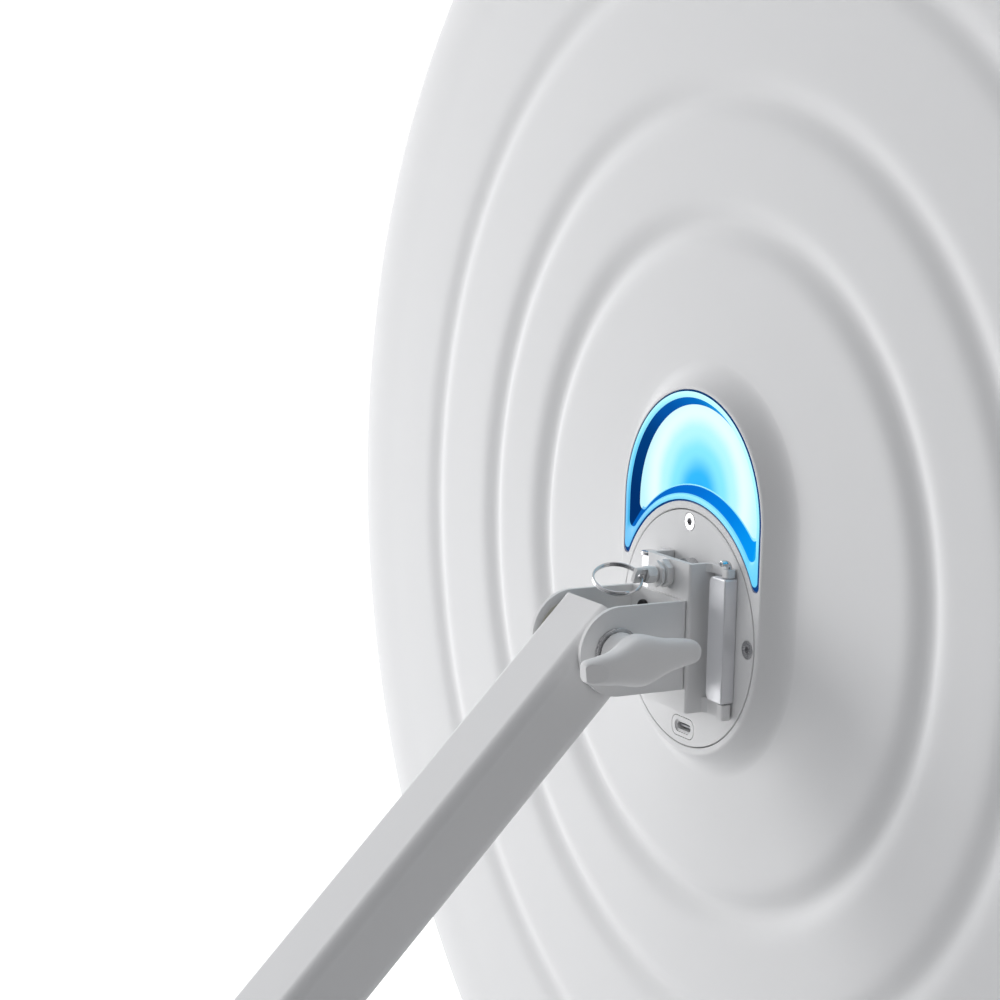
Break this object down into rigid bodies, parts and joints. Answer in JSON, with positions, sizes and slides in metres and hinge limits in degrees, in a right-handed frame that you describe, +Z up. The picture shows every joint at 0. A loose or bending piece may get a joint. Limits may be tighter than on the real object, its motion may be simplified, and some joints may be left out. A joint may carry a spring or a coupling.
{
  "type": "surgical light",
  "caption": "Round surgical light head with a rippled rear shell, a crescent status light and a hinged, latched bracket on a tilting arm joint with a wing knob.",
  "frame": {"origin": "on the axis of the arm spigot, where it leaves its square shoulder", "axes": "+Z up, the lamp shines along -Y and its rear face looks along +Y, X along the tilt axis; the spigot points down and back at 46 degrees"},
  "size_m": [0.587, 0.3471, 0.587],
  "materials": {
    "white_shell": "satin white moulded polymer",
    "white_plate": "satin white powder coat",
    "satin_alu": "bead-blasted, clear anodised",
    "arm_alu": "satin silver anodised extrusion",
    "steel": "stainless steel",
    "bright_chrome": "polished nickel chrome",
    "brass_insert": "turned brass",
    "bearing_plastic": "natural PTFE",
    "black_plastic": "black moulding",
    "grey_plastic": "grey moulding",
    "guide_plastic": "translucent cyan light guide",
    "window_clear": "clear polycarbonate window",
    "optic_clear": "clear moulded lens",
    "seal_rubber": "black silicone seal",
    "board_green": "solder-masked board",
    "board_white": "white solder-masked board",
    "led_yellow": "phosphor",
    "led_blue": "blue chip"
  },
  "bodies": {
    "arm": {"arm_tube": "arm_alu", "pivot_bush": "bearing_plastic", "tube_cap": "black_plastic", "arm_spigot": "steel", "plug_screws": "steel"},
    "carrier": {"hat_bracket": "satin_alu", "clevis": "satin_alu", "clevis_screws": "steel", "pivot_bolt": "steel", "knob_washer": "steel", "friction_discs": "bearing_plastic", "latch_nut": "steel", "latch_sleeve": "bright_chrome", "latch_spring": "steel", "hinge_pin": "bright_chrome"},
    "knob": {"wing_knob": "satin_alu", "knob_insert": "brass_insert"},
    "latch": {"latch_pin": "bright_chrome"},
    "ring": {"split_ring": "bright_chrome"},
    "head": {"rear_shell": "white_shell", "rim_screws": "steel", "cover_plate": "white_plate", "plate_screws": "steel", "plate_posts": "satin_alu", "port_frame": "white_shell", "port_shell": "steel", "port_tongue": "black_plastic", "port_board": "board_green", "status_light_guide": "guide_plastic", "status_board": "board_white", "status_leds": "led_blue", "front_window": "window_clear", "window_gasket": "seal_rubber", "front_bezel": "white_shell", "heat_spreader": "satin_alu", "led_board_inner": "board_white", "led_board_middle": "board_white", "led_board_outer": "board_white", "led_chips": "led_yellow", "led_optics": "optic_clear", "driver_board": "board_green", "driver_parts": "black_plastic", "driver_pillars": "steel", "core_plate": "steel", "core_posts": "satin_alu", "handle_socket": "satin_alu", "handle_collar": "grey_plastic", "handle_grip": "white_shell", "hinge_bar": "satin_alu", "spare_bar": "satin_alu", "spare_pin": "bright_chrome", "bar_screws": "steel", "latch_catch": "steel"}
  },
  "joints": [
    {"name": "tilt", "type": "hinge", "parent": "arm", "child": "carrier", "pos_m": [0, -0.12504, 0.12948], "axis": [1, 0, 0], "range_deg": [-60, 40]},
    {"name": "side_swing", "type": "hinge", "parent": "carrier", "child": "head", "pos_m": [-0.0286, -0.15884, 0.13128], "axis": [0, 0, -1], "range_deg": [0, 45]},
    {"name": "knob_turn", "type": "hinge", "parent": "carrier", "child": "knob", "pos_m": [0, -0.12504, 0.12948], "axis": [1, 0, 0], "continuous": true},
    {"name": "latch_pull", "type": "slide", "parent": "carrier", "child": "latch", "axis": [0, 1, 0], "range_m": [0, 0.003], "stiffness_N_per_m": 600, "springref_m": -0.004, "deforming": ["latch_spring"]},
    {"name": "ring_swing", "type": "hinge", "parent": "latch", "child": "ring", "pos_m": [-0.0041, -0.14054, 0.15128], "axis": [-0.9026, 0, -0.4305], "range_deg": [-20, 15]}
  ]
}
